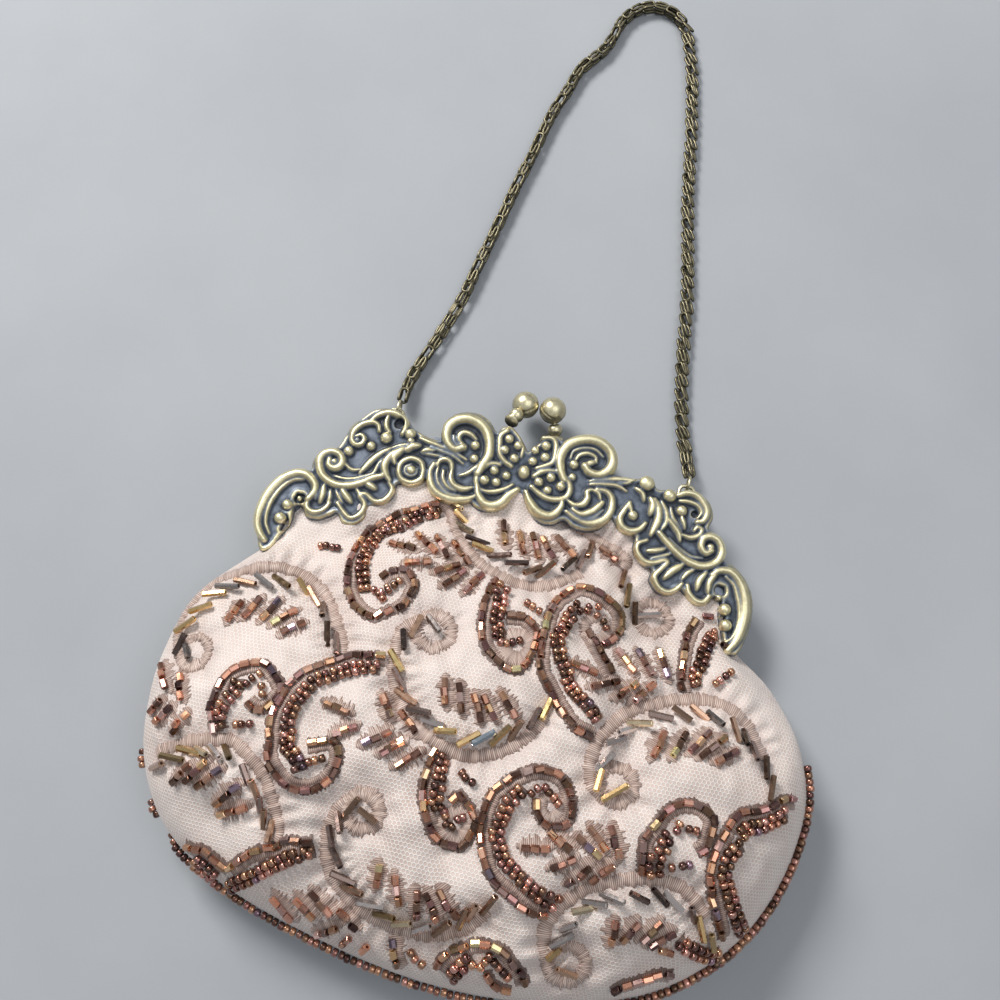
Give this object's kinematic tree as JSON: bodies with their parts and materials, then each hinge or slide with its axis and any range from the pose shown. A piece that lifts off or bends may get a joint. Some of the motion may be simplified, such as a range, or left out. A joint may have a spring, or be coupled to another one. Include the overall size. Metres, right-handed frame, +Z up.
{
  "type": "beaded clutch purse",
  "caption": "Soft beaded clutch lying on its back, with an arched scrollwork kiss-lock frame that opens on end rivets and a swinging chain handle.",
  "frame": {"origin": "on the back panel's flat resting face, on the centre line of the clasp frame, near the middle of the purse", "axes": "+X to the right across the frame, +Y from the purse towards the clasp and chain, +Z up out of the face it lies on"},
  "size_m": [0.2064, 0.3618, 0.0404],
  "materials": {
    "antique_brass": "antiqued, pale brass on the raised work",
    "patinated_brass": "dark slate patina, satin",
    "dull_brass": "dull olive brass",
    "netted_satin": "blush satin under fine white net",
    "lining_satin": "plain satin",
    "bronze_beads": "glossy bronze-iris glass beads",
    "paper_cord": "twisted paper",
    "rivet_brass": "satin"
  },
  "bodies": {
    "purse": {"rear_frame": "patinated_brass", "rear_filigree": "antique_brass", "rear_clasp_arm": "antique_brass", "rear_clasp_ball": "antique_brass", "rear_channel_cord": "paper_cord", "hinge_rivet_left": "rivet_brass", "hinge_rivet_right": "rivet_brass", "chain_eye_left": "dull_brass", "chain_eye_right": "dull_brass", "front_panel": "netted_satin", "back_panel": "netted_satin", "front_lining": "lining_satin", "back_lining": "lining_satin", "bead_edging": "bronze_beads", "strand_centre_lobe": "bronze_beads", "strand_lower_lobe": "bronze_beads", "strand_left_arch": "bronze_beads", "strand_right_arch": "bronze_beads", "strand_lower_right_arch": "bronze_beads", "strand_lower_left_arch": "bronze_beads", "strand_centre_curl": "bronze_beads", "strand_inner_curl": "bronze_beads", "strand_left_curl": "bronze_beads", "strand_left_hook": "bronze_beads", "strand_right_hook": "bronze_beads", "strand_right_sweep": "bronze_beads", "strand_lower_curl": "bronze_beads", "strand_lower_hook": "bronze_beads", "strand_bottom_curl": "bronze_beads", "strand_upper_curl": "bronze_beads"},
    "front_half": {"front_frame": "patinated_brass", "front_filigree": "antique_brass", "front_clasp_arm": "antique_brass", "front_clasp_ball": "antique_brass", "front_channel_cord": "paper_cord", "front_panel_upper": "netted_satin", "front_lining_upper": "lining_satin"},
    "chain": {"handle_chain": "dull_brass", "jump_ring_left": "dull_brass", "jump_ring_right": "dull_brass"}
  },
  "joints": [
    {"name": "frame_hinge", "type": "hinge", "parent": "purse", "child": "front_half", "pos_m": [0, 0.0285, 0.009], "axis": [1, 0, 0], "range_deg": [0, 70]},
    {"name": "chain_swing", "type": "hinge", "parent": "purse", "child": "chain", "pos_m": [-0.047, 0.0866, 0.0066], "axis": [0.9987, -0.0513, 0], "range_deg": [0, 90]}
  ]
}
